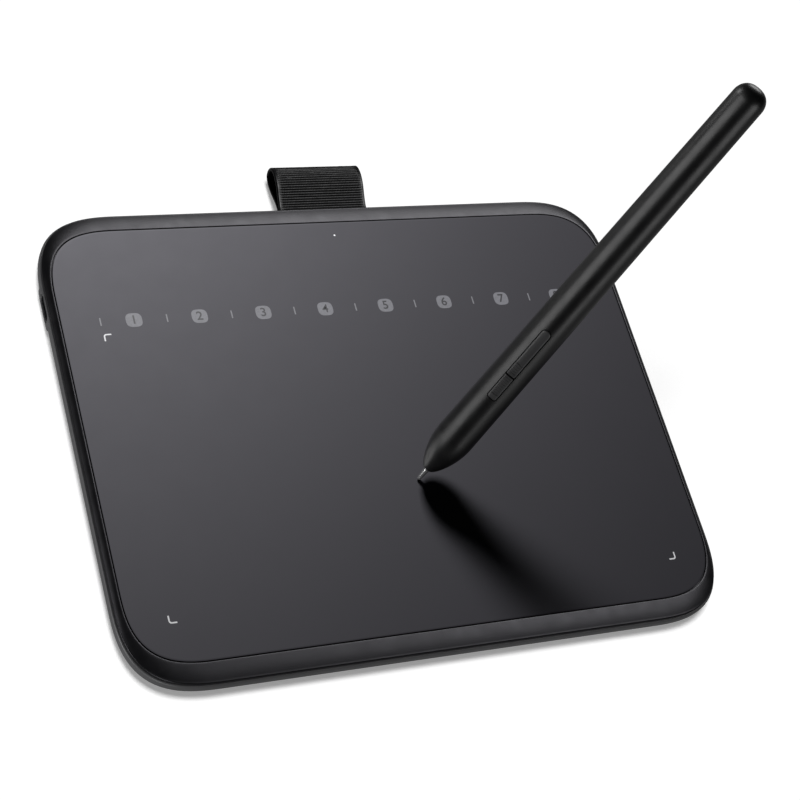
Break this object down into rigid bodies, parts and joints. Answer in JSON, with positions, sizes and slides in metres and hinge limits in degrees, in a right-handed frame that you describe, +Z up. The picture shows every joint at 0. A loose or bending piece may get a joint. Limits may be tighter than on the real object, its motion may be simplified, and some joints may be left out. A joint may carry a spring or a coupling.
{
  "type": "pen drawing tablet",
  "caption": "Thin rounded drawing tablet with an inset drawing sheet, a webbing pen loop on its back edge and a stylus with side buttons standing on the sheet.",
  "frame": {"origin": "on the desk, under the middle of the bounding box", "axes": "+X to the user's right along the long side, +Y away from the user towards the edge with the pen loop, +Z up"},
  "size_m": [0.1918, 0.1682, 0.1354],
  "materials": {
    "shell_plastic": "satin",
    "sheet_plastic": "fine matte texture",
    "webbing": "ribbed elastic webbing",
    "foot_rubber": "matte",
    "screw_steel": "plated",
    "shield_metal": "rolled sheet",
    "circuit_board": "solder mask",
    "chip_plastic": "moulded epoxy",
    "connector_plastic": "moulded",
    "flex_film": "polyimide film",
    "clear_plastic": "milky clear",
    "ferrite": "sintered",
    "copper_wire": "enamelled winding",
    "pen_plastic": "satin soft-touch",
    "button_plastic": "satin",
    "nib_plastic": "polished"
  },
  "bodies": {
    "tablet": {"top_cover": "shell_plastic", "drawing_surface": "sheet_plastic", "bottom_cover": "shell_plastic", "pen_loop": "webbing", "loop_clamp": "connector_plastic", "sensor_board": "circuit_board", "shield_plate": "shield_metal", "control_board": "circuit_board", "sensor_connector": "connector_plastic", "control_connector": "connector_plastic", "flex_cable": "flex_film", "controller_chip": "chip_plastic", "analog_chip": "chip_plastic", "crystal": "shield_metal", "usb_shell": "screw_steel", "usb_tongue": "connector_plastic", "status_led": "clear_plastic", "light_pipe": "clear_plastic", "foot_left_front": "foot_rubber", "foot_right_front": "foot_rubber", "foot_left_rear": "foot_rubber", "foot_right_rear": "foot_rubber", "case_screw_1": "screw_steel", "case_screw_2": "screw_steel", "case_screw_3": "screw_steel", "case_screw_4": "screw_steel", "case_screw_5": "screw_steel", "case_screw_6": "screw_steel", "case_screw_7": "screw_steel", "clamp_screw_1": "screw_steel", "clamp_screw_2": "screw_steel", "board_screw_1": "screw_steel", "board_screw_2": "screw_steel", "board_screw_3": "screw_steel", "board_screw_4": "screw_steel"},
    "pen": {"pen_barrel": "pen_plastic", "nose_cone": "pen_plastic", "ferrite_core": "ferrite", "antenna_coil": "copper_wire", "pressure_sensor": "connector_plastic", "pen_carrier": "connector_plastic", "pen_board": "circuit_board", "switch_front": "screw_steel", "switch_rear": "screw_steel"},
    "pen_nib": {"nib": "nib_plastic", "nib_holder": "connector_plastic"},
    "pen_button_front": {"button_front": "button_plastic"},
    "pen_button_rear": {"button_rear": "button_plastic"}
  },
  "joints": [
    {"name": "pen_lift", "type": "slide", "parent": "tablet", "child": "pen", "axis": [0, 0, 1], "range_m": [0, 0.06]},
    {"name": "nib_press", "type": "slide", "parent": "pen", "child": "pen_nib", "axis": [0.4534, 0.3198, 0.832], "range_m": [0, 0.0006], "stiffness_N_per_m": 1500},
    {"name": "button_front_press", "type": "slide", "parent": "pen", "child": "pen_button_front", "axis": [0.593, 0.5886, -0.5494], "range_m": [0, 0.0003], "stiffness_N_per_m": 1500},
    {"name": "button_rear_press", "type": "slide", "parent": "pen", "child": "pen_button_rear", "axis": [0.593, 0.5886, -0.5494], "range_m": [0, 0.0003], "stiffness_N_per_m": 1500}
  ]
}
